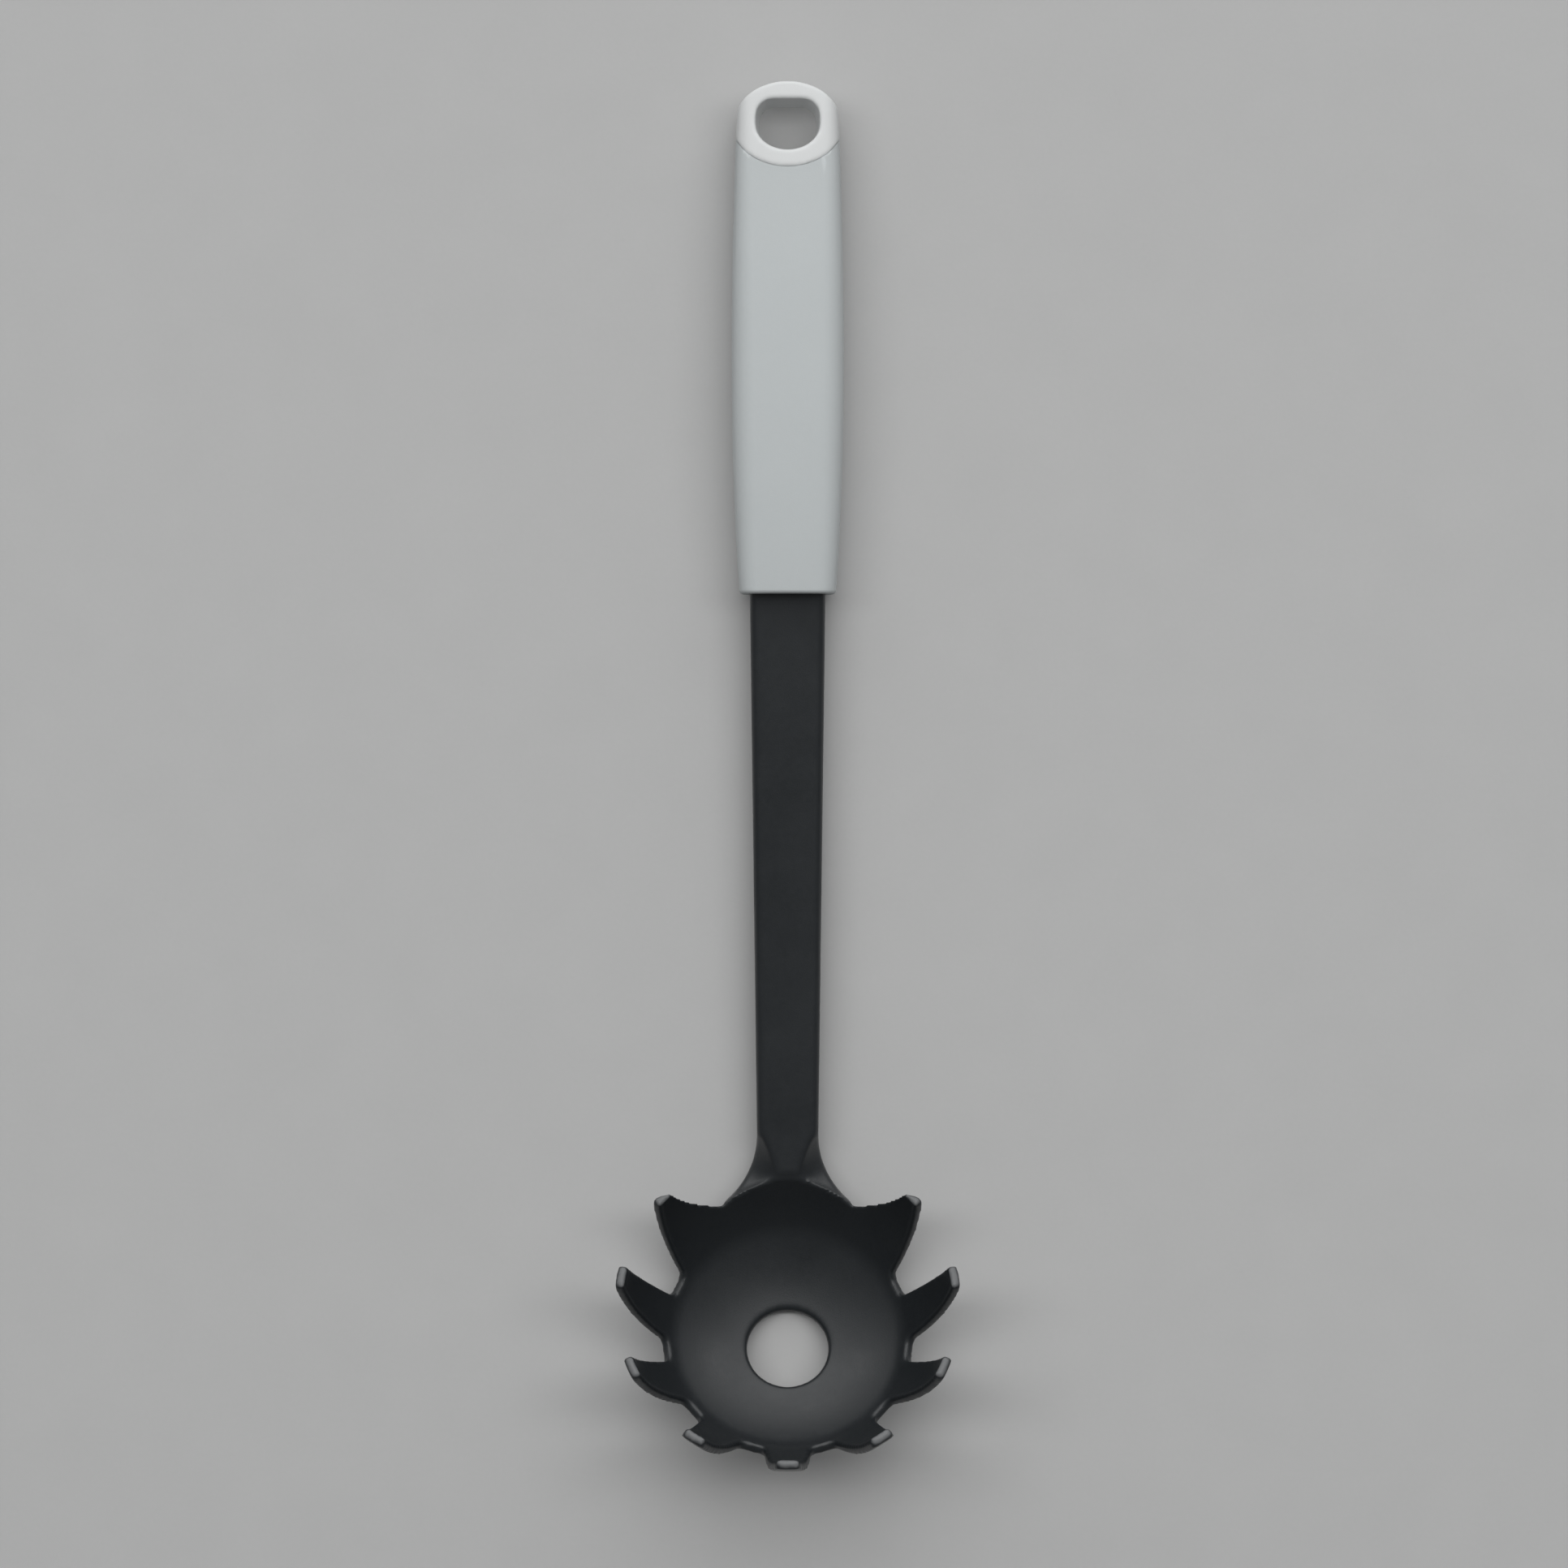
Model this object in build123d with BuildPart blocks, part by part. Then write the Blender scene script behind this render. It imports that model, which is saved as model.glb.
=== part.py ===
"""Pasta server with a toothed nylon bowl on a flat stem, a rigid handle core with a hanging eye, and a soft grip.

Millimetres. The tool lies face up on a flat surface at Z = 0. Y runs along the tool, with the hanging eye at +Y
and the bowl at -Y. X runs across it. The origin is the middle of the plan outline, on the surface.
"""

import os
from math import cos, radians, sin, sqrt, tan

from build123d import *

# Whole tool
overall_length = 307.4
cut_overrun = 5

# Bowl, in its own tilted frame: radii from its axis, heights above the lowest point of the dish. The inner face
# is three arcs, tangent to each other: the dish, a tighter bend and the wall, each ending at a slope in degrees
bowl_tilt = 26
dish_radius = 48
dish_slope = 30
bend_radius = 9
bend_slope = 52
wall_radius = 50
wall_slope = 79
bowl_wall = 2.2
portion_hole_radius = 9.1
portion_hole_round = 0.8

# Teeth, and the gaps cut between them square to the wall
tooth_count = 9
tooth_pitch = 33.1
gap_floor_width = 5.4
gap_floor_round = 1.6
gap_side_angle = 13.5
tooth_tip_round = 1.8

# Rim on the stem's side, in plan: distances from the bowl's axis
rim_crest_distance = 33.2
rim_shoulder_distance = 28.1
rim_shoulder_width = 29.4
rim_tooth_angle = 12

# Stem: width and thickness at the handle and at the neck, where the flare to the bowl starts
stem_mouth_width = 17.2
stem_mouth_thickness = 6.8
stem_mouth_top_height = 12
stem_neck_width = 13.8
stem_neck_thickness = 6.6
stem_neck_top_height = 10.6
stem_shoulder = 1.1
stem_corner_round = 0.9

# Flare from the neck to the bowl's wall
neck_reach = 48.2
flare_length = 15.5
flare_round = 19.6
flare_crest_width = 8
flare_edge_thickness = 2.4
flare_root_length = 5.5
flare_steps = 4

# Tang, moulded in one with the stem
tang_width = 12
tang_thickness = 4.4
tang_length = 76
barb_count = 5
barb_pitch = 12
barb_depth = 1.3
barb_length = 6
tang_window_length = 14
tang_window_width = 4.6
tang_window_pitch = 30

# Handle
handle_length = 114.5
mouth_width = 21.6
mouth_thickness = 15
belly_width = 25.1
belly_thickness = 19
belly_distance = 61
eye_width = 23.1
eye_thickness = 13
tail_width = 22.4
tail_thickness = 11
grip_top_crown = 0.9
grip_side_crown = 1
grip_corner_share = 0.27
mouth_round = 0.9

# Soft grip over the core
sleeve_wall = 1.8
sleeve_lip = 2
anchor_count = 4
anchor_pitch = 17
anchor_length = 7
anchor_width = 9
anchor_depth = 1.1

# Hanging eye
eye_ring_width = 24.5
eye_ring_length = 19.4
eye_hole_width = 14.9
eye_hole_length = 12
eye_hole_corner = 4.2
eye_hole_draft = 4


def bowl_line(depth):
    """The dish, the bend and the wall of the bowl, drawn flat at a depth behind its inner face."""
    dish = JernArc((0, -depth), (1, 0), dish_radius + depth, dish_slope)
    bend = JernArc(dish @ 1, dish % 1, bend_radius + depth, bend_slope - dish_slope)
    wall = JernArc(bend @ 1, bend % 1, wall_radius + depth, wall_slope - bend_slope)
    return dish, bend, wall


# Places worked out from those sizes
inner_dish, inner_bend, inner_wall = bowl_line(0)
gap_floor = inner_bend @ 1
tooth_tip = inner_wall @ 1
tilt_sin = sin(radians(bowl_tilt))
tilt_cos = cos(radians(bowl_tilt))
wall_centre = inner_wall.arc_center
bowl_reach = wall_centre.X * tilt_cos - wall_centre.Y * tilt_sin + wall_radius + bowl_wall
bowl_y = bowl_reach - overall_length / 2
bowl_height = dish_radius + bowl_wall - dish_radius * tilt_cos
bowl_plane = Plane(origin=(0, bowl_y, bowl_height), x_dir=(1, 0, 0), z_dir=(0, tilt_sin, tilt_cos))
profile_plane = Plane(origin=bowl_plane.origin, x_dir=bowl_plane.x_dir, z_dir=-bowl_plane.y_dir)
bowl_axis = Axis(bowl_plane.origin, bowl_plane.z_dir)

handle_end = overall_length / 2
mouth_y = handle_end - handle_length
shoulder_y = mouth_y + sleeve_lip
handle_axis_height = belly_thickness / 2
eye_y = handle_end - eye_ring_length / 2
neck_y = bowl_y + neck_reach

# Envelope of the whole handle, and the same form drawn in by the grip's wall
grip_stations = (
    (mouth_y, mouth_width, mouth_thickness),
    (mouth_y + belly_distance, belly_width, belly_thickness),
    (eye_y, eye_width, eye_thickness),
    (handle_end, tail_width, tail_thickness),
)


def handle_form(inset):
    """The handle's lofted form, drawn in all round by an inset."""
    with BuildPart() as form:
        for station, width, thickness in grip_stations:
            side = width / 2 - inset
            crest = handle_axis_height + thickness / 2 - inset
            base = handle_axis_height - thickness / 2 + inset
            side_end = side - grip_side_crown
            top_end = crest - grip_top_crown
            with BuildSketch(Plane.XZ.offset(-station)) as section:
                with BuildLine():
                    ThreePointArc((-side_end, top_end), (0, crest), (side_end, top_end))
                    ThreePointArc((side_end, top_end), (side, handle_axis_height), (side_end, base))
                    Line((side_end, base), (-side_end, base))
                    ThreePointArc((-side_end, base), (-side, handle_axis_height), (-side_end, top_end))
                make_face()
                fillet(section.vertices(), radius=grip_corner_share * (crest - base))
        loft()
    return form.part


handle_envelope = handle_form(0)
core_form = handle_form(sleeve_wall)

# Hollow of the bowl, which the stem doesn't enter
with BuildPart() as bowl_hollow:
    with BuildSketch(profile_plane):
        with BuildLine():
            bowl_line(0)
            Polyline(tooth_tip, (0, tooth_tip.Y), (0, 0))
        make_face()
    revolve(axis=bowl_axis)

# Stem and tang
with BuildPart() as stem:
    stem_stations = (
        (shoulder_y, stem_mouth_width, stem_mouth_top_height, stem_mouth_thickness),
        (neck_y, stem_neck_width, stem_neck_top_height, stem_neck_thickness),
    )
    for station, width, top_height, thickness in stem_stations:
        with BuildSketch(Plane.XZ.offset(-station)) as stem_section:
            with BuildLine():
                Polyline(
                    (-width / 2, top_height - thickness),
                    (width / 2, top_height - thickness),
                    (width / 2, top_height - stem_shoulder),
                    (width / 2 - stem_shoulder, top_height),
                    (stem_shoulder - width / 2, top_height),
                    (-width / 2, top_height - stem_shoulder),
                    close=True,
                )
            make_face()
            fillet(stem_section.vertices(), radius=stem_corner_round)
    loft(ruled=True)

    neck_base_height = stem_neck_top_height - stem_neck_thickness
    for step in range(flare_steps + 1):
        run = flare_length * step / flare_steps
        side = stem_neck_width / 2 + flare_round - sqrt(flare_round**2 - run**2)
        crest_start = stem_neck_width / 2 - stem_shoulder
        crest = crest_start + (flare_crest_width / 2 - crest_start) * step / flare_steps
        edge_start = stem_neck_thickness - stem_shoulder
        edge = edge_start + (flare_edge_thickness - edge_start) * step / flare_steps
        with BuildSketch(Plane.XZ.offset(run - neck_y)) as flare_section:
            with BuildLine():
                Polyline(
                    (-side, neck_base_height),
                    (side, neck_base_height),
                    (side, neck_base_height + edge),
                    (crest, stem_neck_top_height),
                    (-crest, stem_neck_top_height),
                    (-side, neck_base_height + edge),
                    close=True,
                )
            make_face()
            fillet(flare_section.vertices(), radius=stem_corner_round)
    loft()
    extrude(stem.faces().sort_by(Axis.Y)[0], amount=flare_root_length)
    add(bowl_hollow.part, mode=Mode.SUBTRACT)

    tang_height = stem_mouth_top_height - stem_mouth_thickness / 2
    with BuildSketch(Plane.XY.offset(tang_height)) as tang_outline:
        with Locations((0, shoulder_y)):
            Rectangle(tang_width, tang_length, align=(Align.CENTER, Align.MIN))
        for barb in range(barb_count):
            barb_y = shoulder_y + barb_pitch * (barb + 1)
            with BuildLine():
                Polyline(
                    (tang_width / 2, barb_y - barb_length / 2),
                    (tang_width / 2 + barb_depth, barb_y - barb_length / 2),
                    (tang_width / 2, barb_y + barb_length / 2),
                    close=True,
                )
            make_face()
        mirror(about=Plane.YZ)
        with Locations((0, shoulder_y + tang_length / 2)):
            with GridLocations(0, tang_window_pitch, 1, 2):
                SlotOverall(tang_window_length, tang_window_width, rotation=90, mode=Mode.SUBTRACT)
    extrude(amount=tang_thickness / 2, both=True)

# One gap between teeth, in a plane that lies along the wall where the gap's floor is
wall_normal = profile_plane.x_dir * sin(radians(bend_slope)) - profile_plane.y_dir * cos(radians(bend_slope))
gap_plane = Plane(origin=profile_plane.from_local_coords(gap_floor), x_dir=bowl_plane.y_dir, z_dir=wall_normal)
with BuildPart() as gap:
    gap_height = inner_wall.length + bowl_wall
    gap_mouth_width = gap_floor_width + 2 * gap_height * tan(radians(gap_side_angle))
    with BuildSketch(gap_plane) as gap_outline:
        Polygon(
            (-gap_floor_width / 2, 0),
            (gap_floor_width / 2, 0),
            (gap_mouth_width / 2, gap_height),
            (-gap_mouth_width / 2, gap_height),
            align=None,
        )
        fillet(gap_outline.vertices().sort_by_distance(gap_plane.origin)[:2], radius=gap_floor_round)
    extrude(amount=bowl_wall + cut_overrun)
    extrude(gap_outline.sketch, amount=-gap_height / 2)

# Head: the bowl with its teeth, in one moulding with the stem and tang
with BuildPart() as server_head:
    with BuildSketch(profile_plane) as wall_section:
        with BuildLine():
            bowl_line(0)
            outer_dish, outer_bend, outer_wall = bowl_line(bowl_wall)
            Line(tooth_tip, outer_wall @ 1)
            Line((0, 0), outer_dish @ 0)
        make_face()
        Rectangle(2 * portion_hole_radius, 2 * (bowl_wall + cut_overrun), mode=Mode.SUBTRACT)
        hole_corners = wall_section.vertices().group_by(Axis.X)[0]
        fillet(hole_corners.sort_by(Axis.Y)[-1], radius=portion_hole_round)
    revolve(axis=bowl_axis)

    with BuildSketch(bowl_plane):
        with BuildLine():
            rim_side = rim_shoulder_width / 2
            rim_end = tooth_tip.X + cut_overrun
            rim_end_distance = rim_shoulder_distance - (rim_end - rim_side) * tan(radians(rim_tooth_angle))
            ThreePointArc(
                (-rim_side, rim_shoulder_distance), (0, rim_crest_distance), (rim_side, rim_shoulder_distance)
            )
            Polyline(
                (rim_side, rim_shoulder_distance),
                (rim_end, rim_end_distance),
                (rim_end, rim_end),
                (-rim_end, rim_end),
                (-rim_end, rim_end_distance),
                (-rim_side, rim_shoulder_distance),
            )
        make_face()
    extrude(amount=tooth_tip.Y + cut_overrun, mode=Mode.SUBTRACT)

    gap_count = tooth_count - 1
    first_gap = -90 - tooth_pitch * (gap_count - 1) / 2
    for gap_index in range(gap_count):
        gap_angle = first_gap + tooth_pitch * gap_index
        add(gap.part.rotate(bowl_axis, gap_angle), mode=Mode.SUBTRACT)

    tip_edges = server_head.faces().filter_by(GeomType.CONE).edges()
    tip_corners = tip_edges.filter_by(GeomType.CIRCLE, reverse=True).sort_by(Axis.Y)
    fillet(tip_corners[: 2 * gap_count], radius=tooth_tip_round)

    add(stem.part)

# Rigid handle core, moulded round the tang, with the hanging eye left bare at its end
with BuildPart() as eye_boss:
    add(handle_envelope)
    with BuildSketch():
        with Locations((0, eye_y)):
            Ellipse(eye_ring_width / 2, eye_ring_length / 2)
    extrude(amount=belly_thickness + cut_overrun, mode=Mode.INTERSECT)

# Pockets in the core's top and underside, which the soft grip fills and holds on by
with BuildPart() as grip_anchors:
    add(core_form)
    add(handle_form(sleeve_wall + anchor_depth), mode=Mode.SUBTRACT)
    with BuildSketch():
        with Locations((0, mouth_y + belly_distance)):
            with GridLocations(0, anchor_pitch, 1, anchor_count):
                Rectangle(anchor_width, anchor_length)
    extrude(amount=belly_thickness, mode=Mode.INTERSECT)

with BuildPart() as handle_core:
    add(core_form)
    split(bisect_by=Plane.XZ.offset(-shoulder_y), keep=Keep.BOTTOM)
    split(bisect_by=Plane.XZ.offset(-eye_y), keep=Keep.TOP)
    add(eye_boss.part)
    with BuildSketch(Plane.XY.offset(belly_thickness)) as eye_hole:
        with BuildLine():
            EllipticalCenterArc((0, eye_y), eye_hole_width / 2, eye_hole_length / 2, 180, arc_size=180)
            Polyline(
                (eye_hole_width / 2, eye_y),
                (eye_hole_width / 2, eye_y + eye_hole_length / 2),
                (-eye_hole_width / 2, eye_y + eye_hole_length / 2),
                (-eye_hole_width / 2, eye_y),
            )
        make_face()
        fillet(eye_hole.vertices().group_by(Axis.Y)[-1], radius=eye_hole_corner)
    extrude(amount=-belly_thickness, taper=eye_hole_draft, mode=Mode.SUBTRACT)
    add(grip_anchors.part, mode=Mode.SUBTRACT)
    add(server_head.part, mode=Mode.SUBTRACT)

# Soft grip, moulded over the core and closed round the stem at the mouth
with BuildPart() as grip_sleeve:
    add(handle_envelope)
    split(bisect_by=Plane.XZ.offset(-eye_y), keep=Keep.TOP)
    add(eye_boss.part, mode=Mode.SUBTRACT)
    add(handle_core.part, mode=Mode.SUBTRACT)
    add(server_head.part, mode=Mode.SUBTRACT)
    mouth_face = grip_sleeve.faces().sort_by(Axis.Y)[0]
    fillet(mouth_face.outer_wire().edges(), radius=mouth_round)

os.makedirs("parts", exist_ok=True)
server_head.part.label = "server_head"
export_step(server_head.part, "parts/server_head.step")
handle_core.part.label = "handle_core"
export_step(handle_core.part, "parts/handle_core.step")
grip_sleeve.part.label = "grip_sleeve"
export_step(grip_sleeve.part, "parts/grip_sleeve.step")
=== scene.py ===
"""Looks of a pasta server: a black nylon head, a white handle core with a hanging eye, and a soft grip.

Metres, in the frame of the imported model: the tool lies face up on Z = 0, with the hanging eye at +Y. The
script is laid out as an add-on, with one operator for each piece and one for the stage.
"""

from math import asin, atan2, cos, pi, radians, remainder, sin, sqrt, tan

import bmesh
import bpy
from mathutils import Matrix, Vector


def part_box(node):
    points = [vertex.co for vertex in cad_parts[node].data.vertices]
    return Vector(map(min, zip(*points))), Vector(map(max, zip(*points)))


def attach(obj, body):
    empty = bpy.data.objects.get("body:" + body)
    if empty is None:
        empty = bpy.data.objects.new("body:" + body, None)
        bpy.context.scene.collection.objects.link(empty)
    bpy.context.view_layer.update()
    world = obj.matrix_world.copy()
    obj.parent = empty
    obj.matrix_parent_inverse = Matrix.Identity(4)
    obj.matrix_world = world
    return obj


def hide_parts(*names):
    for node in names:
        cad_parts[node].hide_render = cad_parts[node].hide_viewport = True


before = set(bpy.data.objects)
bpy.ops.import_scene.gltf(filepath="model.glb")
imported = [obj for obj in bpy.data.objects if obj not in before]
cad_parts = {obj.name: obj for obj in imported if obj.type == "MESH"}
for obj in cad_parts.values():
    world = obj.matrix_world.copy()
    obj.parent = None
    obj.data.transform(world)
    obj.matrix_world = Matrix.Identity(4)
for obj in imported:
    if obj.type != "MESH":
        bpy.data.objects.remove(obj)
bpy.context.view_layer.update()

bl_info = {
    "name": "Pasta Server",
    "version": (1, 0, 0),
    "blender": (4, 5, 0),
    "location": "3D View > Sidebar > Pasta Server",
    "description": "Builds a moulded pasta server with a soft grip, and a plain stage for it",
    "category": "Object",
}

MM = 0.001
BODY = "root"

# Points nearer to each other than this are joined.
TOUCH = 0.001 * MM

# Steps along each face of the bowl's section, and round the bowl's axis.
SECTION_STEPS = 60
STEPS_AROUND = 240


def length(name, description, default):
    """A size in metres, shown as a distance."""
    return bpy.props.FloatProperty(
        name=name, description=description, default=default, min=0, unit="LENGTH", subtype="DISTANCE"
    )


def angle(name, description, default):
    """An angle, kept in radians and given here in degrees."""
    return bpy.props.FloatProperty(
        name=name, description=description, default=radians(default), unit="ROTATION", subtype="ANGLE"
    )


def offset(name, description, default):
    """A place in metres, on either side of zero."""
    return bpy.props.FloatProperty(name=name, description=description, default=default, unit="LENGTH")


def strength(name, description, default):
    """How strongly something glows, as a plain number."""
    return bpy.props.FloatProperty(name=name, description=description, default=default)


def colour(name, description, default):
    """A base colour, as the shader reads it."""
    return bpy.props.FloatVectorProperty(
        name=name, description=description, default=default, size=3, min=0, max=1, subtype="COLOR"
    )


class BowlSizes(bpy.types.PropertyGroup):
    """Sizes of the toothed bowl, in its own tilted frame."""

    tilt: angle("Tilt", "Lean of the bowl's axis towards the handle", 26)
    reach: length("Reach", "From the bowl's axis to the far tooth's outer tip, in plan", 23.39 * MM)
    dish_radius: length("Dish Radius", "Radius of the inner face in the middle of the bowl", 48 * MM)
    dish_slope: angle("Dish Slope", "Slope where the dish meets the bend", 30)
    bend_radius: length("Bend Radius", "Radius of the inner face where it turns up", 9 * MM)
    bend_slope: angle("Bend Slope", "Slope where the bend meets the wall, and the gaps start", 52)
    wall_radius: length("Wall Radius", "Radius of the teeth's inner face, from root to tip", 50 * MM)
    wall_slope: angle("Wall Slope", "Slope at the tips of the teeth", 79)
    thickness: length("Thickness", "Wall of the bowl", 2.2 * MM)
    hole_radius: length("Hole Radius", "Radius of the drain and portion hole", 9.1 * MM)
    hole_round: length("Hole Round", "Rounding of the hole's inner edge", 0.8 * MM)
    tooth_count: bpy.props.IntProperty(name="Teeth", description="Number of teeth", default=9, min=2)
    tooth_pitch: angle("Tooth Pitch", "Angle from tooth to tooth", 33.1)
    gap_width: length("Gap Width", "Width of a gap at its floor", 5.4 * MM)
    gap_round: length("Gap Round", "Rounding in the corners of a gap's floor", 1.6 * MM)
    gap_side: angle("Gap Side", "Slant of a gap's sides", 13.5)
    tip_round: length("Tip Round", "Rounding of a tooth's corners", 1.8 * MM)
    rim_crest: length("Rim Crest", "From the bowl's axis to the rim over the stem", 33.2 * MM)
    rim_shoulder: length("Rim Shoulder", "From the bowl's axis to the rim's shoulders", 28.1 * MM)
    rim_width: length("Rim Width", "Between the rim's shoulders", 29.4 * MM)
    rim_slope: angle("Rim Slope", "Fall of the rim from a shoulder along the last tooth", 12)


class StemSizes(bpy.types.PropertyGroup):
    """Sizes of the stem and of its flare to the bowl."""

    mouth_width: length("Mouth Width", "Width at the handle", 17.2 * MM)
    mouth_thickness: length("Mouth Thickness", "Thickness at the handle", 6.8 * MM)
    mouth_top: length("Mouth Top", "Height of the top face at the handle", 12 * MM)
    neck_width: length("Neck Width", "Width where the flare starts", 13.8 * MM)
    neck_thickness: length("Neck Thickness", "Thickness where the flare starts", 6.6 * MM)
    neck_top: length("Neck Top", "Height of the top face at the neck", 10.6 * MM)
    neck_reach: length("Neck Reach", "From the bowl's axis to the neck", 48.2 * MM)
    shoulder: length("Shoulder", "Bevel along the top face", 1.1 * MM)
    flare_length: length("Flare Length", "Length of the flare", 15.5 * MM)
    flare_radius: length("Flare Radius", "Radius of the flare's sides in plan", 19.6 * MM)
    flare_crest: length("Flare Crest", "Width of the flat crest at the bowl", 2 * MM)
    flare_scoop: length("Flare Scoop", "How far the flare's wings dip between neck and rim", 3.6 * MM)
    flare_root: length("Flare Root", "How far the flare runs on into the bowl's wall", 5.5 * MM)
    hidden_length: length("Hidden Length", "How far the stem runs on inside the grip's mouth", 9 * MM)


class Finishes(bpy.types.PropertyGroup):
    """Colours and grain of the mouldings."""

    nylon: colour("Nylon", "Black nylon of the head", (0.0112, 0.0132, 0.015))
    # Painted highlight: a pale colour put on the ends of the teeth where they catch the light, not real
    # wear.
    tip_highlight: colour("Tip Highlight Colour", "Pale colour painted on the ends of the teeth as a highlight", (0.13, 0.133, 0.136))
    core: colour("Core", "Off-white plastic of the handle core", (0.6, 0.61, 0.61))
    grip: colour("Grip", "Pale grey soft grip", (0.45, 0.475, 0.48))
    floor: colour("Floor", "Pale surface under the tool", (0.42, 0.42, 0.418))
    crease: angle("Crease", "Edges that turn more than this stay sharp on the grip", 35)
    fine_voxel: length("Fine Voxel", "Fineness of the skin in which edges are rounded", 0.36 * MM)
    voxel: length("Voxel", "Fineness of the skin that is kept", 0.47 * MM)


class StageSizes(bpy.types.PropertyGroup):
    """Floor, lamps and camera."""

    camera_height: length("Camera Height", "Height of the camera over the floor", 1.2)
    camera_shift_x: offset("Camera X", "Place of the camera across the tool", -0.82 * MM)
    camera_shift_y: offset("Camera Y", "Place of the camera along the tool", -3.4 * MM)
    view_width: length("View Width", "Width of floor that the picture shows", 354.6 * MM)
    floor_size: length("Floor Size", "Side of the floor", 8)
    window_height: angle("Window Height", "Height of the glow's middle over the horizon", 22)
    window_glow: strength("Window Glow", "Strength of the glow", 1.85)
    room_glow: strength("Room Glow", "Strength of the dim room", 0.17)


class Field:
    """A number in a node tree, on which plain sums make Math nodes."""

    def __init__(self, tree, socket):
        self.tree = tree
        self.socket = socket

    def math(self, operation, *others):
        node = self.tree.nodes.new("ShaderNodeMath")
        node.operation = operation
        for socket, value in zip(node.inputs, (self, *others)):
            plug(self.tree, value, socket)
        return Field(self.tree, node.outputs[0])

    def __add__(self, other):
        return self.math("ADD", other)

    def __sub__(self, other):
        return self.math("SUBTRACT", other)

    def __mul__(self, other):
        return self.math("MULTIPLY", other)

    def __truediv__(self, other):
        return self.math("DIVIDE", other)


def plug(tree, value, socket):
    """Joins a field or a socket to an input, or sets the input to a plain value."""
    if isinstance(value, Field):
        value = value.socket
    if isinstance(value, bpy.types.NodeSocket):
        tree.links.new(value, socket)
    else:
        socket.default_value = value


def add(tree, kind, settings=None, **inputs):
    """A node with its settings made and its inputs plugged, which are named with _ for a space."""
    node = tree.nodes.new(kind)
    for key, value in (settings or {}).items():
        setattr(node, key, value)
    for key, value in inputs.items():
        name = key.replace("_", " ")
        plug(tree, value, next(s for s in node.inputs if s.name == name and s.enabled))
    return node


def tree_of(kind, name, inputs, outputs):
    """A new node tree with named sockets, given as (name, type, default)."""
    tree = bpy.data.node_groups.new(name, kind)
    for in_out, sockets in (("INPUT", inputs), ("OUTPUT", outputs)):
        for socket_name, socket_type, default in sockets:
            socket = tree.interface.new_socket(socket_name, in_out=in_out, socket_type=socket_type)
            if default is not None:
                socket.default_value = default
    return tree, tree.nodes.new("NodeGroupInput"), tree.nodes.new("NodeGroupOutput")


def mesh_object(name, points, edges=(), faces=()):
    """An object of plain mesh data, in the scene."""
    mesh = bpy.data.meshes.new(name)
    mesh.from_pydata([tuple(point) for point in points], edges, faces)
    obj = bpy.data.objects.new(name, mesh)
    bpy.context.scene.collection.objects.link(obj)
    return obj


def bowl_point(sizes, slope, depth):
    """(radius, height) where the bowl's line has this slope, at a depth behind the inner face."""
    arcs = (
        (sizes.dish_radius, sizes.dish_slope),
        (sizes.bend_radius, sizes.bend_slope),
        (sizes.wall_radius, pi),
    )
    radius, height = 0, sizes.dish_radius
    last_radius = last_slope = 0
    for arc_radius, end_slope in arcs:
        if last_radius:
            radius += (last_radius - arc_radius) * sin(last_slope)
            height -= (last_radius - arc_radius) * cos(last_slope)
        if slope <= end_slope:
            break
        last_radius, last_slope = arc_radius, end_slope
    return radius + (arc_radius + depth) * sin(slope), height - (arc_radius + depth) * cos(slope)


def rounded(points, rounds, steps=8):
    """The points of a closed outline, with an arc in place of each corner that has a rounding."""
    outline = []
    for i, (corner, size) in enumerate(zip(points, rounds)):
        corner = Vector(corner)
        if not size:
            outline.append(corner)
            continue
        back = (Vector(points[i - 1]) - corner).normalized()
        onward = (Vector(points[(i + 1) % len(points)]) - corner).normalized()
        half = back.angle(onward) / 2
        centre = corner + (back + onward).normalized() * size / sin(half)
        start = corner + back * size / tan(half) - centre
        end = corner + onward * size / tan(half) - centre
        first = atan2(start.y, start.x)
        sweep = remainder(atan2(end.y, end.x) - first, 2 * pi)
        for step in range(steps + 1):
            turn = first + sweep * step / steps
            outline.append(centre + size * Vector((cos(turn), sin(turn))))
    return outline


def solid_between(name, rings):
    """A closed solid through a row of outlines with equal numbers of points."""
    count = len(rings[0])
    points = [point for ring in rings for point in ring]
    faces = []
    for row in range(len(rings) - 1):
        for i in range(count):
            a = row * count + i
            b = row * count + (i + 1) % count
            faces.append((a, b, b + count, a + count))
    faces.append(tuple(reversed(range(count))))
    faces.append(tuple(range((len(rings) - 1) * count, len(rings) * count)))
    obj = mesh_object(name, points, faces=faces)
    fill = bmesh.new()
    fill.from_mesh(obj.data)
    bmesh.ops.recalc_face_normals(fill, faces=fill.faces)
    fill.to_mesh(obj.data)
    fill.free()
    return obj


def spread(start, end, steps):
    """Evenly spaced values from start to end."""
    return [start + (end - start) * i / steps for i in range(steps + 1)]


def section_outline(sizes):
    """Closed line through the bowl's wall, from the portion hole out along the inside and back."""
    start_slope = asin((sizes.hole_radius + sizes.hole_round) / sizes.dish_radius)
    outer_slope = asin(sizes.hole_radius / (sizes.dish_radius + sizes.thickness))
    inner_slopes = spread(start_slope, sizes.wall_slope, SECTION_STEPS)
    outer_slopes = spread(outer_slope, sizes.wall_slope, SECTION_STEPS)
    inner = [bowl_point(sizes, slope, 0) for slope in inner_slopes]
    outer = [bowl_point(sizes, slope, sizes.thickness) for slope in outer_slopes]
    edge_radius, edge_height = inner[0]
    lip = [
        (edge_radius - sizes.hole_round * sin(turn), edge_height - sizes.hole_round * (1 - cos(turn)))
        for turn in (radians(90), radians(60), radians(30))
    ]
    return lip + inner + outer[::-1]


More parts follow.
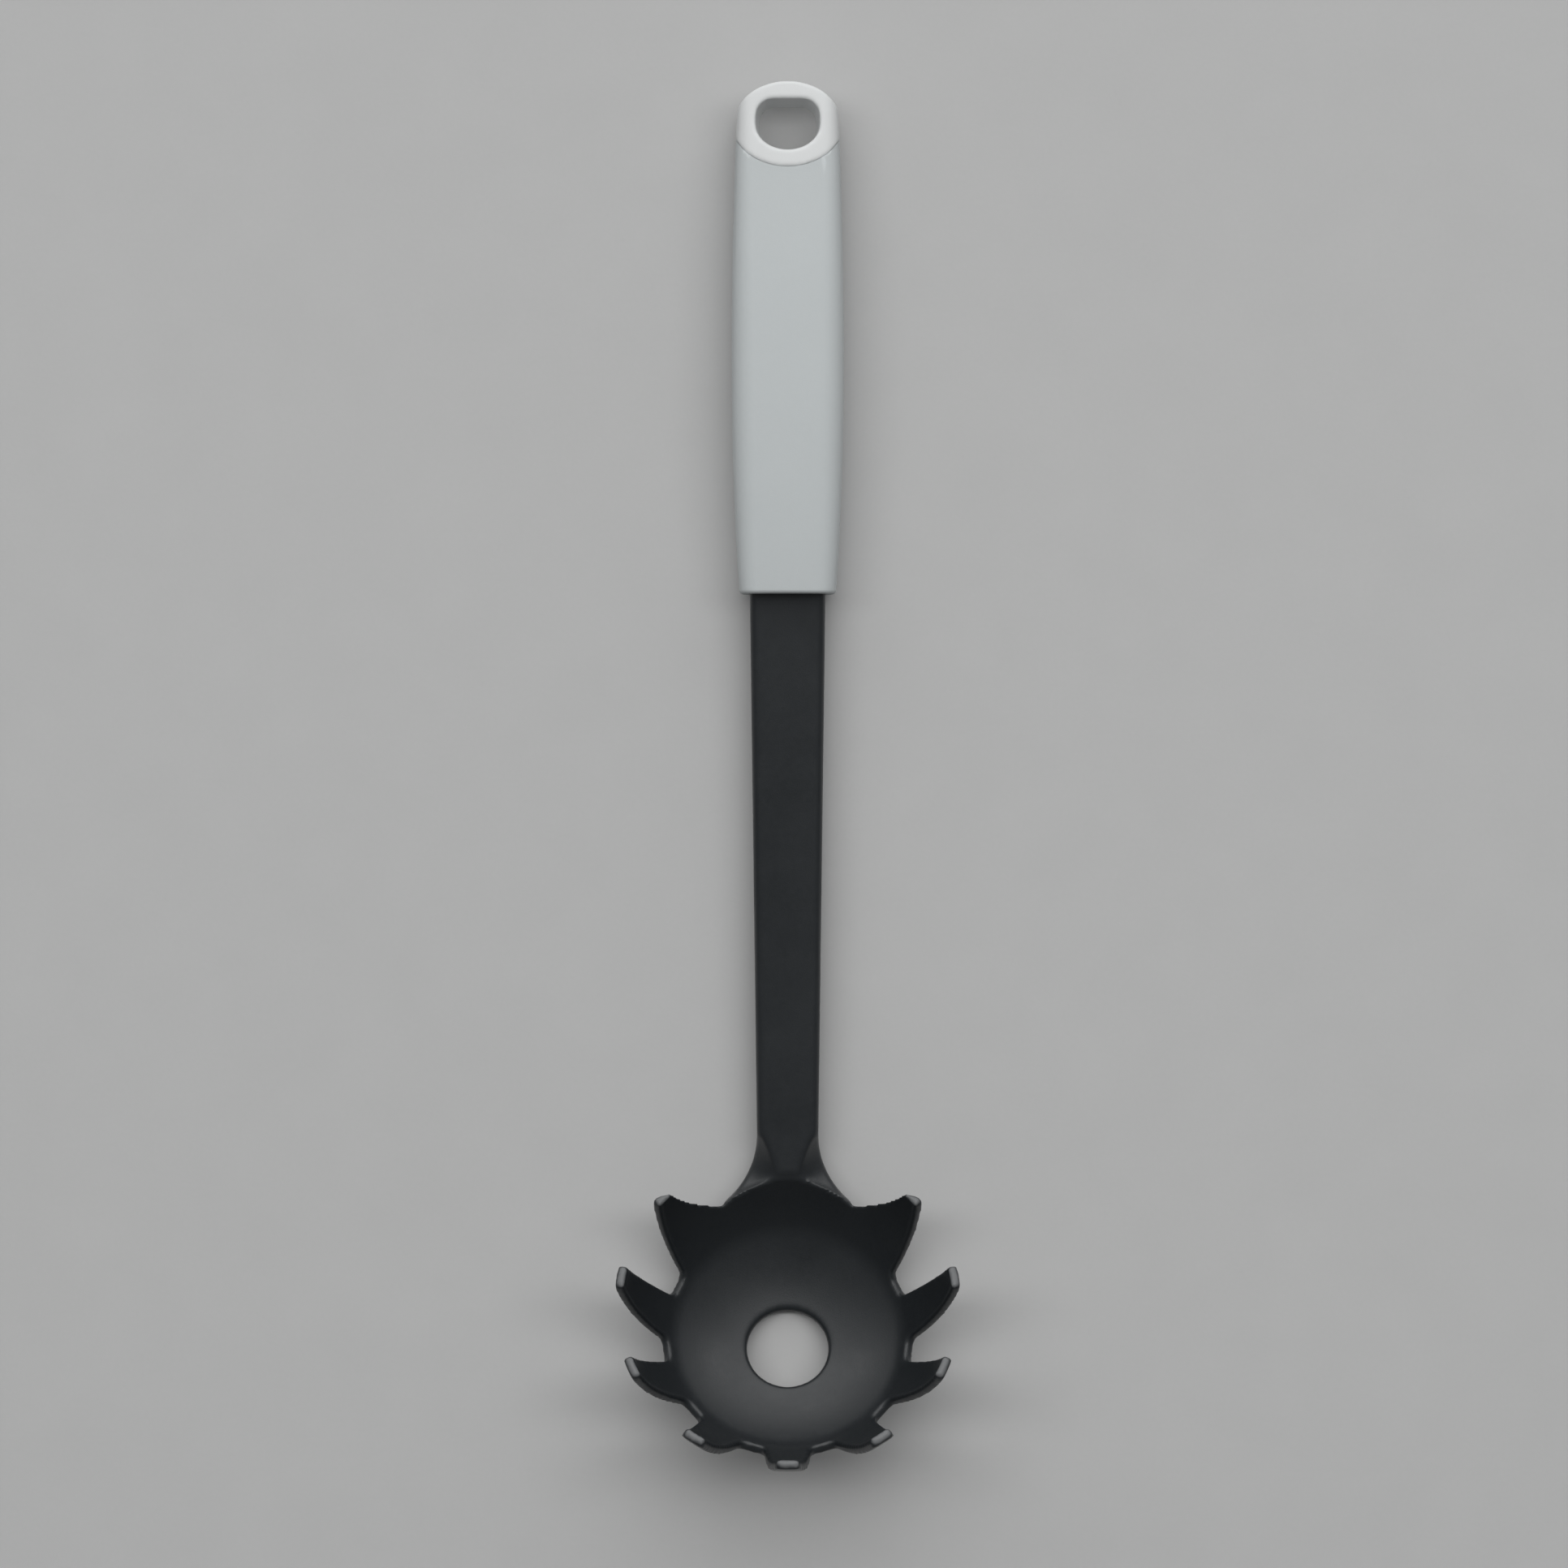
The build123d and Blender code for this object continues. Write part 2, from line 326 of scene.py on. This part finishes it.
def hollow_outline(sizes):
    """Closed line round half of the bowl's hollow, a little way into its wall."""
    depth = sizes.thickness / 4
    slopes = [sizes.wall_slope * (1 - i / SECTION_STEPS) for i in range(SECTION_STEPS + 1)]
    inner = [bowl_point(sizes, slope, depth) for slope in slopes]
    return inner + [(0, inner[0][1])]


def outline_object(name, outline):
    """An object that holds only a closed line of (radius, height) points."""
    count = len(outline)
    edges = [(i, (i + 1) % count) for i in range(count)]
    return mesh_object(name, [(radius, 0, height) for radius, height in outline], edges=edges)


def gap_cutter(sizes):
    """What is cut away between two teeth at the bowl's +X side, along the wall from the gap's floor."""
    floor_radius, floor_height = bowl_point(sizes, sizes.bend_slope, 0)
    wall_angle = sizes.wall_slope - sizes.bend_slope
    tip = (sizes.wall_radius + sizes.thickness / 2) * sin(wall_angle)
    half = sizes.gap_width / 2
    side = half + tip * tan(sizes.gap_side)
    wide = side + 2 * sizes.tip_round
    top = tip + 4 * sizes.tip_round
    corners = [
        (-half, 0), (half, 0), (side, tip), (wide, tip),
        (wide, top), (-wide, top), (-wide, tip), (-side, tip),
    ]
    rounds = [sizes.gap_round, sizes.gap_round, sizes.tip_round, 0, 0, 0, 0, sizes.tip_round]
    outline = rounded(corners, rounds)
    inside, outside = -tip / 2, 3 * sizes.thickness
    rings = []
    for depth in (inside, outside):
        rings.append([
            Vector((
                floor_radius + up * cos(sizes.bend_slope) + depth * sin(sizes.bend_slope),
                across,
                floor_height + up * sin(sizes.bend_slope) - depth * cos(sizes.bend_slope),
            ))
            for across, up in outline
        ])
    return solid_between("gap_cutter", rings)


def rim_cutter(sizes):
    """What is cut away above the rim on the stem's side, along the bowl's axis."""
    tip_radius, tip_height = bowl_point(sizes, sizes.wall_slope, sizes.thickness)
    side = sizes.rim_width / 2
    crest = sizes.rim_crest - sizes.rim_shoulder
    arc_radius = (side**2 + crest**2) / (2 * crest)
    half_turn = asin(side / arc_radius)
    steps = 24
    outline = [
        (arc_radius * sin(turn), sizes.rim_crest - arc_radius * (1 - cos(turn)))
        for turn in (half_turn * (2 * i / steps - 1) for i in range(steps + 1))
    ]
    far = tip_radius + 3 * sizes.thickness
    low = sizes.rim_shoulder - (far - side) * tan(sizes.rim_slope)
    outline += [(far, low), (far, far), (-far, far), (-far, low)]
    rings = [[Vector((x, y, height)) for x, y in outline] for height in (0, tip_height + sizes.thickness)]
    return solid_between("rim_cutter", rings)


def stem_ring(y, width, top, base, shoulder, crest):
    """Outline of the stem across the tool: flat below, with a bevel on each side of its crest."""
    largest_round = 0.9 * MM
    side = width / 2
    corner = min(largest_round, (top - base - shoulder) / 3)
    points = [
        (-side, base), (side, base), (side, top - shoulder),
        (crest, top), (-crest, top), (-side, top - shoulder),
    ]
    outline = rounded(points, [corner] * len(points), steps=5)
    return [Vector((point.x, y, point.y)) for point in outline]


def stem_body(sizes, bowl_y, mouth_y):
    """The flat stem from inside the handle to the bowl, with the flare at its end.

    A dip power below 1 puts the deepest part of the wings' scoop nearer the neck than the bowl.
    """
    steps = 28
    dip_power = 0.7
    neck_y = bowl_y + sizes.neck_reach
    base = sizes.neck_top - sizes.neck_thickness
    rings = [stem_ring(
        y=mouth_y + sizes.hidden_length, width=sizes.mouth_width, top=sizes.mouth_top,
        base=sizes.mouth_top - sizes.mouth_thickness, shoulder=sizes.shoulder,
        crest=sizes.mouth_width / 2 - sizes.shoulder,
    )]
    whole_run = sizes.flare_length + sizes.flare_root
    crest_start = sizes.neck_width / 2 - sizes.shoulder
    for step in range(steps + 1):
        run = whole_run * step / steps
        share = min(1, run / sizes.flare_length)
        arc_run = sizes.flare_length * share
        side = sizes.neck_width / 2 + sizes.flare_radius - sqrt(sizes.flare_radius**2 - arc_run**2)
        crest = crest_start + (sizes.flare_crest / 2 - crest_start) * sin(pi / 2 * share)
        drop = sizes.shoulder + sizes.flare_scoop * sin(pi * share**dip_power)
        rings.append(stem_ring(neck_y - run, 2 * side, sizes.neck_top, base, drop, crest))
    return solid_between("stem_body", rings)


def revolve_group():
    """Geometry nodes that turn a closed outline of (radius, height) points round the Z axis."""
    tree, source, result = tree_of(
        "GeometryNodeTree", "Revolved Outline",
        [("Outline", "NodeSocketGeometry", None), ("Steps Around", "NodeSocketInt", STEPS_AROUND)],
        [("Solid", "NodeSocketGeometry", None)],
    )
    outline, around = source.outputs["Outline"], source.outputs["Steps Around"]
    domain = add(tree, "GeometryNodeAttributeDomainSize", Geometry=outline)
    count = Field(tree, domain.outputs["Point Count"])
    position = tree.nodes.new("GeometryNodeInputPosition").outputs[0]
    grid = add(tree, "GeometryNodeMeshGrid", Size_X=1.0, Size_Y=1.0)
    plug(tree, Field(tree, around) + 1.0, grid.inputs["Vertices X"])
    plug(tree, count + 1.0, grid.inputs["Vertices Y"])
    place = add(tree, "ShaderNodeSeparateXYZ")
    tree.links.new(position, place.inputs[0])
    row = ((Field(tree, place.outputs["Y"]) + 0.5) * count).math("ROUND").math("MODULO", count)
    point = add(tree, "GeometryNodeSampleIndex", {"data_type": "FLOAT_VECTOR"}, Geometry=outline)
    plug(tree, position, point.inputs["Value"])
    plug(tree, row, point.inputs["Index"])
    line = add(tree, "ShaderNodeSeparateXYZ")
    tree.links.new(point.outputs["Value"], line.inputs[0])
    turn = (Field(tree, place.outputs["X"]) + 0.5) * (2 * pi)
    radius = Field(tree, line.outputs["X"])
    joined = add(
        tree, "ShaderNodeCombineXYZ", X=radius * turn.math("COSINE"), Y=radius * turn.math("SINE"),
        Z=line.outputs["Z"],
    )
    moved = add(tree, "GeometryNodeSetPosition", Geometry=grid.outputs["Mesh"], Position=joined.outputs[0])
    merged = add(tree, "GeometryNodeMergeByDistance", Geometry=moved.outputs[0], Distance=TOUCH)
    outward = add(tree, "GeometryNodeFlipFaces", Mesh=merged.outputs[0])
    plug(tree, outward.outputs[0], result.inputs["Solid"])
    return tree


def boolean(tree, operation, first, *others):
    """An exact mesh boolean of geometries in a node tree."""
    node = add(tree, "GeometryNodeMeshBoolean", {"operation": operation, "solver": "EXACT"})
    if operation == "DIFFERENCE":
        plug(tree, first, node.inputs["Mesh 1"])
    else:
        plug(tree, first, node.inputs["Mesh 2"])
    for other in others:
        tree.links.new(other, node.inputs["Mesh 2"])
    return node.outputs["Mesh"]


def toothed_head_tree(revolve):
    """Geometry nodes for the head: the revolved bowl is cut, leaned over and joined to the stem."""
    tree, source, result = tree_of(
        "GeometryNodeTree", "Toothed Head",
        [
            ("Section", "NodeSocketGeometry", None),
            ("Hollow", "NodeSocketObject", None),
            ("Gap Cutter", "NodeSocketObject", None),
            ("Rim Cutter", "NodeSocketObject", None),
            ("Stem", "NodeSocketObject", None),
            ("Gap Count", "NodeSocketInt", 8),
            ("Tooth Pitch", "NodeSocketFloat", 0.0),
            ("Steps Around", "NodeSocketInt", STEPS_AROUND),
            ("Bowl Place", "NodeSocketVector", None),
            ("Tilt", "NodeSocketFloat", 0.0),
            ("Finish", "NodeSocketMaterial", None),
        ],
        [("Head", "NodeSocketGeometry", None)],
    )
    inputs = source.outputs

    def shape_of(name):
        return add(tree, "GeometryNodeObjectInfo", Object=inputs[name]).outputs["Geometry"]

    def revolved(outline):
        node = add(tree, "GeometryNodeGroup", {"node_tree": revolve})
        plug(tree, outline, node.inputs["Outline"])
        plug(tree, inputs["Steps Around"], node.inputs["Steps Around"])
        return node.outputs["Solid"]

    def leaned(geometry):
        turn = add(tree, "ShaderNodeCombineXYZ", X=Field(tree, inputs["Tilt"]) * -1.0)
        node = add(tree, "GeometryNodeTransform", Geometry=geometry, Translation=inputs["Bowl Place"])
        plug(tree, turn.outputs[0], node.inputs["Rotation"])
        return node.outputs[0]

    points = add(tree, "GeometryNodeMeshLine", Count=inputs["Gap Count"], Offset=(0.0, 0.0, 0.0))
    gap_index = Field(tree, tree.nodes.new("GeometryNodeInputIndex").outputs[0])
    middle = (Field(tree, inputs["Gap Count"]) - 1.0) * 0.5
    turn = (gap_index - middle) * inputs["Tooth Pitch"] - pi / 2
    spin = add(tree, "ShaderNodeCombineXYZ", Z=turn)
    gaps = add(
        tree, "GeometryNodeInstanceOnPoints", Points=points.outputs[0], Instance=shape_of("Gap Cutter"),
        Rotation=spin.outputs[0],
    )
    real_gaps = add(tree, "GeometryNodeRealizeInstances", Geometry=gaps.outputs[0]).outputs[0]
    bowl = boolean(tree, "DIFFERENCE", revolved(inputs["Section"]), shape_of("Rim Cutter"))
    toothed = boolean(tree, "DIFFERENCE", bowl, real_gaps)
    stem = boolean(tree, "DIFFERENCE", shape_of("Stem"), leaned(revolved(shape_of("Hollow"))))
    whole = boolean(tree, "UNION", leaned(toothed), stem)
    real = add(tree, "GeometryNodeRealizeInstances", Geometry=whole).outputs[0]
    finished = add(tree, "GeometryNodeSetMaterial", Geometry=real, Material=inputs["Finish"])
    plug(tree, finished.outputs[0], result.inputs["Head"])
    return tree


def set_inputs(modifier, values):
    """Sets a geometry nodes modifier's inputs by their sockets' identifiers."""
    for item in modifier.node_group.interface.items_tree:
        if item.item_type == "SOCKET" and item.in_out == "INPUT" and item.name in values:
            modifier[item.identifier] = values[item.name]


def baked(obj, name):
    """A plain mesh object from what the modifiers make of this one, which is removed."""
    depsgraph = bpy.context.evaluated_depsgraph_get()
    mesh = bpy.data.meshes.new_from_object(obj.evaluated_get(depsgraph))
    mesh.name = name
    piece = bpy.data.objects.new(name, mesh)
    bpy.context.scene.collection.objects.link(piece)
    bpy.data.objects.remove(obj)
    return piece


def moulded_skin(obj, fine_voxel, voxel):
    """Modifiers that give a solid one even skin: a fine one that is rounded, then a coarser one of that."""
    fine_smoothing, last_smoothing = 8, 3
    for size, smoothing in ((fine_voxel, fine_smoothing), (voxel, last_smoothing)):
        remesh = obj.modifiers.new("Skin", "REMESH")
        remesh.mode = "VOXEL"
        remesh.voxel_size = size
        remesh.adaptivity = 0
        smooth = obj.modifiers.new("Round", "SMOOTH")
        smooth.factor = 0.5
        smooth.iterations = smoothing


def finish_piece(obj, material, slot, *nodes):
    """Gives a piece its material and its place on the tool, and hides the CAD nodes it stands for."""
    obj.data.materials.clear()
    obj.data.materials.append(material)
    obj.data.shade_smooth()
    if not len(obj.data.polygons):
        raise RuntimeError(f"{obj.name} has no faces")
    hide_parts(*nodes)
    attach(obj, BODY)


def merged_copy(node, name):
    """A copy of a CAD node's mesh with its loose triangles joined."""
    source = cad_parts[node]
    mesh = source.data.copy()
    mesh.transform(source.matrix_world)
    copy = bpy.data.objects.new(name, mesh)
    bpy.context.scene.collection.objects.link(copy)
    work = bmesh.new()
    work.from_mesh(mesh)
    bmesh.ops.remove_doubles(work, verts=work.verts, dist=TOUCH)
    work.to_mesh(mesh)
    work.free()
    return copy


def evenly_shaded(obj, crease, name):
    """A baked object whose broad faces shade evenly up to edges that turn more than the crease angle."""
    obj.data.shade_smooth()
    obj.data.set_sharp_from_angle(angle=crease)
    weights = obj.modifiers.new("Even Shading", "WEIGHTED_NORMAL")
    weights.mode = "FACE_AREA"
    weights.weight = 100
    weights.keep_sharp = True
    return baked(obj, name)


def noise(group, place, scale, detail, roughness):
    """Noise over the object's own coordinates, as a field that swings about zero."""
    node = add(group, "ShaderNodeTexNoise", Vector=place, Scale=scale, Detail=detail, Roughness=roughness)
    return Field(group, node.outputs["Fac"]) - 0.5


def moulding_group():
    """Shader nodes for a moulded surface: fine grain, slow cloudiness and small specks.

    The grain's size and depth are in millimetres. Cloudiness is a share of the colour.
    """
    per_metre = 1 / MM
    cloud_scale, speck_scale = 55.0, 900.0
    speck_share, gloss_share = 0.6, 1.5
    group, source, result = tree_of(
        "ShaderNodeTree", "Moulded Surface",
        [
            ("Colour", "NodeSocketColor", (0.5, 0.5, 0.5, 1)),
            ("Roughness", "NodeSocketFloat", 0.5),
            ("Grain Size", "NodeSocketFloat", 0.4),
            ("Grain Depth", "NodeSocketFloat", 0.1),
            ("Cloudiness", "NodeSocketFloat", 0.05),
        ],
        [
            ("Colour", "NodeSocketColor", None),
            ("Roughness", "NodeSocketFloat", None),
            ("Normal", "NodeSocketVector", None),
        ],
    )
    inputs = source.outputs
    place = group.nodes.new("ShaderNodeTexCoord").outputs["Object"]
    scale = Field(group, inputs["Grain Size"]).math("POWER", -1.0) * per_metre
    grain = add(group, "ShaderNodeTexNoise", Vector=place, Scale=scale, Detail=3.0, Roughness=0.6)
    drift = noise(group, place, cloud_scale, detail=4.0, roughness=0.6) * inputs["Cloudiness"]
    fine = noise(group, place, speck_scale, detail=2.0, roughness=0.5) * inputs["Cloudiness"] * speck_share
    shade = drift + fine + 1.0
    tint = add(group, "ShaderNodeVectorMath", {"operation": "SCALE"})
    group.links.new(inputs["Colour"], tint.inputs[0])
    plug(group, shade, tint.inputs["Scale"])
    bump = add(group, "ShaderNodeBump", Strength=1.0, Height=grain.outputs["Fac"])
    plug(group, Field(group, inputs["Grain Depth"]) * MM, bump.inputs["Distance"])
    group.links.new(tint.outputs[0], result.inputs["Colour"])
    roughness = Field(group, inputs["Roughness"]) + drift * gloss_share + fine
    plug(group, roughness, result.inputs["Roughness"])
    group.links.new(bump.outputs[0], result.inputs["Normal"])
    return group


def tip_highlight_group():
    """Shader nodes for how much painted highlight a point of the head gets: only near the ends of the
    teeth.
    """
    patch_scale, patch_depth = 420.0, 0.6 * MM
    group, source, result = tree_of(
        "ShaderNodeTree", "Painted Tip Highlight",
        [
            ("Centre", "NodeSocketVector", None),
            ("Axis", "NodeSocketVector", None),
            ("Reach", "NodeSocketFloat", 0.0),
            ("Radius", "NodeSocketFloat", 0.0),
            ("Softness", "NodeSocketFloat", 1 * MM),
            ("Amount", "NodeSocketFloat", 1.0),
        ],
        [("Highlight Share", "NodeSocketFloat", None)],
    )
    inputs = source.outputs
    place = group.nodes.new("ShaderNodeTexCoord").outputs["Object"]
    away = add(group, "ShaderNodeVectorMath", {"operation": "SUBTRACT"})
    group.links.new(place, away.inputs[0])
    group.links.new(inputs["Centre"], away.inputs[1])
    along = add(group, "ShaderNodeVectorMath", {"operation": "DOT_PRODUCT"})
    group.links.new(away.outputs[0], along.inputs[0])
    group.links.new(inputs["Axis"], along.inputs[1])
    # Noise makes the edge of the painted highlight uneven.
    patches = noise(group, place, patch_scale, detail=2.0, roughness=0.5) * patch_depth
    height = Field(group, along.outputs["Value"]) + patches
    share = ((height - inputs["Reach"]) / inputs["Softness"]).math("MAXIMUM", 0.0).math("MINIMUM", 1.0)
    distance = add(group, "ShaderNodeVectorMath", {"operation": "LENGTH"})
    group.links.new(away.outputs[0], distance.inputs[0])
    square = Field(group, distance.outputs["Value"]).math("POWER", 2.0)
    aside = square - Field(group, along.outputs["Value"]).math("POWER", 2.0)
    near = aside.math("LESS_THAN", Field(group, inputs["Radius"]).math("POWER", 2.0))
    plug(group, share * near * inputs["Amount"], result.inputs["Highlight Share"])
    return group


def moulded(name, base, group, roughness, grain_size, grain_depth, cloudiness, settings):
    """A moulded material, with its constant values on the shader itself."""
    material = bpy.data.materials.new(name)
    material.use_nodes = True
    tree = material.node_tree
    shader = tree.nodes["Principled BSDF"]
    surface = add(
        tree, "ShaderNodeGroup", {"node_tree": group}, Colour=(*base, 1), Roughness=roughness,
        Grain_Size=grain_size, Grain_Depth=grain_depth, Cloudiness=cloudiness,
    )
    tree.links.new(surface.outputs["Colour"], shader.inputs["Base Color"])
    tree.links.new(surface.outputs["Roughness"], shader.inputs["Roughness"])
    tree.links.new(surface.outputs["Normal"], shader.inputs["Normal"])
    for key, value in settings.items():
        shader.inputs[key].default_value = value
    return material


def paint_tip_highlight(material, centre, axis, tip, pale):
    """Paints a highlight into a moulded material: a paler colour at the ends of the teeth, where they catch
    the light.

    The centre and the axis are the bowl's, and the tip is (radius, height) on its outer face.
    """
    # The painted highlight covers the tooth ends down to this depth below the tips' height.
    side_margin, highlight_depth, softness, amount = 1 * MM, 0.25 * MM, 0.35 * MM, 0.75
    tip_radius, tip_height = tip
    tree = material.node_tree
    shader = tree.nodes["Principled BSDF"]
    highlight_share = add(
        tree, "ShaderNodeGroup", {"node_tree": tip_highlight_group()}, Centre=centre, Axis=axis,
        Radius=tip_radius + side_margin, Reach=tip_height - highlight_depth, Softness=softness, Amount=amount,
    )
    mix = add(tree, "ShaderNodeMix", {"data_type": "RGBA"}, Factor=highlight_share.outputs["Highlight Share"])
    sockets = {socket.identifier: socket for socket in (*mix.inputs, *mix.outputs)}
    tree.links.new(shader.inputs["Base Color"].links[0].from_socket, sockets["A_Color"])
    sockets["B_Color"].default_value = (*pale, 1)
    tree.links.new(sockets["Result_Color"], shader.inputs["Base Color"])


def shared_moulding():
    """The moulded surface group, built once."""
    return bpy.data.node_groups.get("Moulded Surface") or moulding_group()


class PASTASERVER_OT_head(bpy.types.Operator):
    """Build the black nylon head: the toothed bowl, the flare and the stem"""

    bl_idname = "pasta_server.head"
    bl_label = "Build Head"

    def execute(self, context):
        scene = context.scene
        bowl, stem, finishes = scene.pasta_bowl, scene.pasta_stem, scene.pasta_finishes
        low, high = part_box("server_head")
        bowl_y = low[1] + bowl.reach
        bowl_height = bowl.dish_radius * (1 - cos(bowl.tilt)) + bowl.thickness
        mouth_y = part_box("grip_sleeve")[0][1]
        material = moulded(
            "black_nylon", finishes.nylon, shared_moulding(), roughness=0.36, grain_size=0.35,
            grain_depth=0.02, cloudiness=0.25, settings={"IOR": 1.53, "Specular IOR Level": 0.5},
        )
        axis = Vector((0, sin(bowl.tilt), cos(bowl.tilt)))
        tip = bowl_point(bowl, bowl.wall_slope, bowl.thickness)
        # Pale colour painted at the ends of the teeth stands in for the highlight that light puts there.
        paint_tip_highlight(material, Vector((0, bowl_y, bowl_height)), axis, tip, finishes.tip_highlight)
        helpers = {
            "Hollow": outline_object("hollow_outline", hollow_outline(bowl)),
            "Gap Cutter": gap_cutter(bowl),
            "Rim Cutter": rim_cutter(bowl),
            "Stem": stem_body(stem, bowl_y, mouth_y),
        }
        head = outline_object("section_outline", section_outline(bowl))
        modifier = head.modifiers.new("Toothed Head", "NODES")
        modifier.node_group = toothed_head_tree(revolve_group())
        set_inputs(modifier, {
            **helpers,
            "Gap Count": bowl.tooth_count - 1,
            "Tooth Pitch": bowl.tooth_pitch,
            "Bowl Place": (0, bowl_y, bowl_height),
            "Tilt": bowl.tilt,
            "Finish": material,
        })
        moulded_skin(head, finishes.fine_voxel, finishes.voxel)
        piece = baked(head, "head_moulding")
        for helper in helpers.values():
            bpy.data.objects.remove(helper)
        finish_piece(piece, material, "black_nylon", "server_head")
        return {"FINISHED"}


class PASTASERVER_OT_core(bpy.types.Operator):
    """Build the off-white handle core with its hanging eye"""

    bl_idname = "pasta_server.core"
    bl_label = "Build Handle Core"

    def execute(self, context):
        fineness = 0.8
        finishes = context.scene.pasta_finishes
        material = moulded(
            "white_core", finishes.core, shared_moulding(), roughness=0.42, grain_size=0.5,
            grain_depth=0.01, cloudiness=0.04, settings={"IOR": 1.5},
        )
        core = merged_copy("handle_core", "core_copy")
        moulded_skin(core, finishes.fine_voxel * fineness, finishes.voxel * fineness)
        finish_piece(baked(core, "core_moulding"), material, "white_core", "handle_core")
        return {"FINISHED"}


class PASTASERVER_OT_grip(bpy.types.Operator):
    """Build the soft grey grip over the core"""

    bl_idname = "pasta_server.grip"
    bl_label = "Build Grip"

    def execute(self, context):
        finishes = context.scene.pasta_finishes
        material = moulded(
            "grey_grip", finishes.grip, shared_moulding(), roughness=0.62, grain_size=0.3,
            grain_depth=0.02, cloudiness=0.05, settings={"IOR": 1.45, "Sheen Weight": 0.05},
        )
        grip = merged_copy("grip_sleeve", "grip_copy")
        grip = evenly_shaded(grip, finishes.crease, "grip_moulding")
        finish_piece(grip, material, "grey_grip", "grip_sleeve")
        return {"FINISHED"}


def lamp(name, place, target, size, power):
    """A rectangular area lamp that faces a target."""
    data = bpy.data.lights.new(name, "AREA")
    data.shape = "RECTANGLE"
    data.size, data.size_y = size
    data.energy = power
    obj = bpy.data.objects.new(name, data)
    obj.location = place
    obj.rotation_euler = (Vector(target) - Vector(place)).to_track_quat("-Z", "Y").to_euler()
    bpy.context.scene.collection.objects.link(obj)
    return obj


def studio_world(sizes):
    """A dim studio with one side that glows broadly, like a wide window beyond the hanging eye."""
    glow_focus = 4.0
    tint = (0.985, 0.995, 1.0, 1)
    world = bpy.data.worlds.new("studio")
    world.use_nodes = True
    tree = world.node_tree
    towards = add(tree, "ShaderNodeVectorMath", {"operation": "DOT_PRODUCT"})
    tree.links.new(tree.nodes.new("ShaderNodeTexCoord").outputs["Generated"], towards.inputs[0])
    towards.inputs[1].default_value = (0, cos(sizes.window_height), sin(sizes.window_height))
    facing = Field(tree, towards.outputs["Value"]).math("MAXIMUM", 0.0)
    glow = facing.math("POWER", glow_focus) * sizes.window_glow
    background = tree.nodes["Background"]
    background.inputs["Color"].default_value = tint
    plug(tree, glow + sizes.room_glow, background.inputs["Strength"])
    return world


class PASTASERVER_OT_stage(bpy.types.Operator):
    """Lay the pale floor, light it softly and set the camera straight above"""

    bl_idname = "pasta_server.stage"
    bl_label = "Set Stage"

    def execute(self, context):
        scene = context.scene
        sizes, finishes = scene.pasta_stage, scene.pasta_finishes
        half = sizes.floor_size / 2
        corners = [(-half, -half, 0), (half, -half, 0), (half, half, 0), (-half, half, 0)]
        floor = mesh_object("floor", corners, faces=[(0, 1, 2, 3)])
        floor.data.materials.append(moulded(
            "pale_floor", finishes.floor, shared_moulding(), roughness=0.6, grain_size=1.5,
            grain_depth=0.02, cloudiness=0.06, settings={},
        ))

        camera_data = bpy.data.cameras.new("camera")
        camera_data.lens = camera_data.sensor_width * sizes.camera_height / sizes.view_width
        camera = bpy.data.objects.new("camera", camera_data)
        camera.location = (sizes.camera_shift_x, sizes.camera_shift_y, sizes.camera_height)
        scene.collection.objects.link(camera)
        scene.camera = camera

        lamp("softbox", place=(0.15, 1.1, 1.7), target=(0, 0, 0), size=(1.1, 0.9), power=4)
        fill = lamp("fill", place=(0, 0.4, 1.8), target=(0, 0, 0), size=(3.2, 0.5), power=24)
        fill.visible_glossy = False
        for side in (-1, 1):
            kicker = lamp(
                "kicker", place=(side, 1.07, 0.67), target=(0, -0.1, 0), size=(0.5, 0.5), power=0.8
            )
            kicker.visible_diffuse = False
        scene.world = studio_world(sizes)
        scene.view_settings.view_transform = "Standard"
        return {"FINISHED"}


class PASTASERVER_PT_panel(bpy.types.Panel):
    """Lists the pieces of the pasta server"""

    bl_label = "Pasta Server"
    bl_space_type = "VIEW_3D"
    bl_region_type = "UI"
    bl_category = "Pasta Server"

    def draw(self, context):
        for operator in OPERATORS:
            self.layout.operator(operator.bl_idname)
        for name in SETTINGS:
            group = getattr(context.scene, name)
            box = self.layout.box()
            box.label(text=group.bl_rna.name)
            for prop in group.bl_rna.properties:
                if prop.identifier not in ("rna_type", "name"):
                    box.prop(group, prop.identifier)


OPERATORS = (PASTASERVER_OT_stage, PASTASERVER_OT_head, PASTASERVER_OT_core, PASTASERVER_OT_grip)
SETTINGS = {
    "pasta_bowl": BowlSizes,
    "pasta_stem": StemSizes,
    "pasta_finishes": Finishes,
    "pasta_stage": StageSizes,
}


def register():
    for group in SETTINGS.values():
        bpy.utils.register_class(group)
    for name, group in SETTINGS.items():
        setattr(bpy.types.Scene, name, bpy.props.PointerProperty(type=group))
    for cls in (*OPERATORS, PASTASERVER_PT_panel):
        bpy.utils.register_class(cls)


def unregister():
    for cls in (PASTASERVER_PT_panel, *reversed(OPERATORS)):
        bpy.utils.unregister_class(cls)
    for name, group in SETTINGS.items():
        delattr(bpy.types.Scene, name)
        bpy.utils.unregister_class(group)


def main():
    """Registers the add-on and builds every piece."""
    register()
    bpy.ops.pasta_server.stage()
    bpy.ops.pasta_server.head()
    bpy.ops.pasta_server.core()
    bpy.ops.pasta_server.grip()


if __name__ == "__main__":
    main()
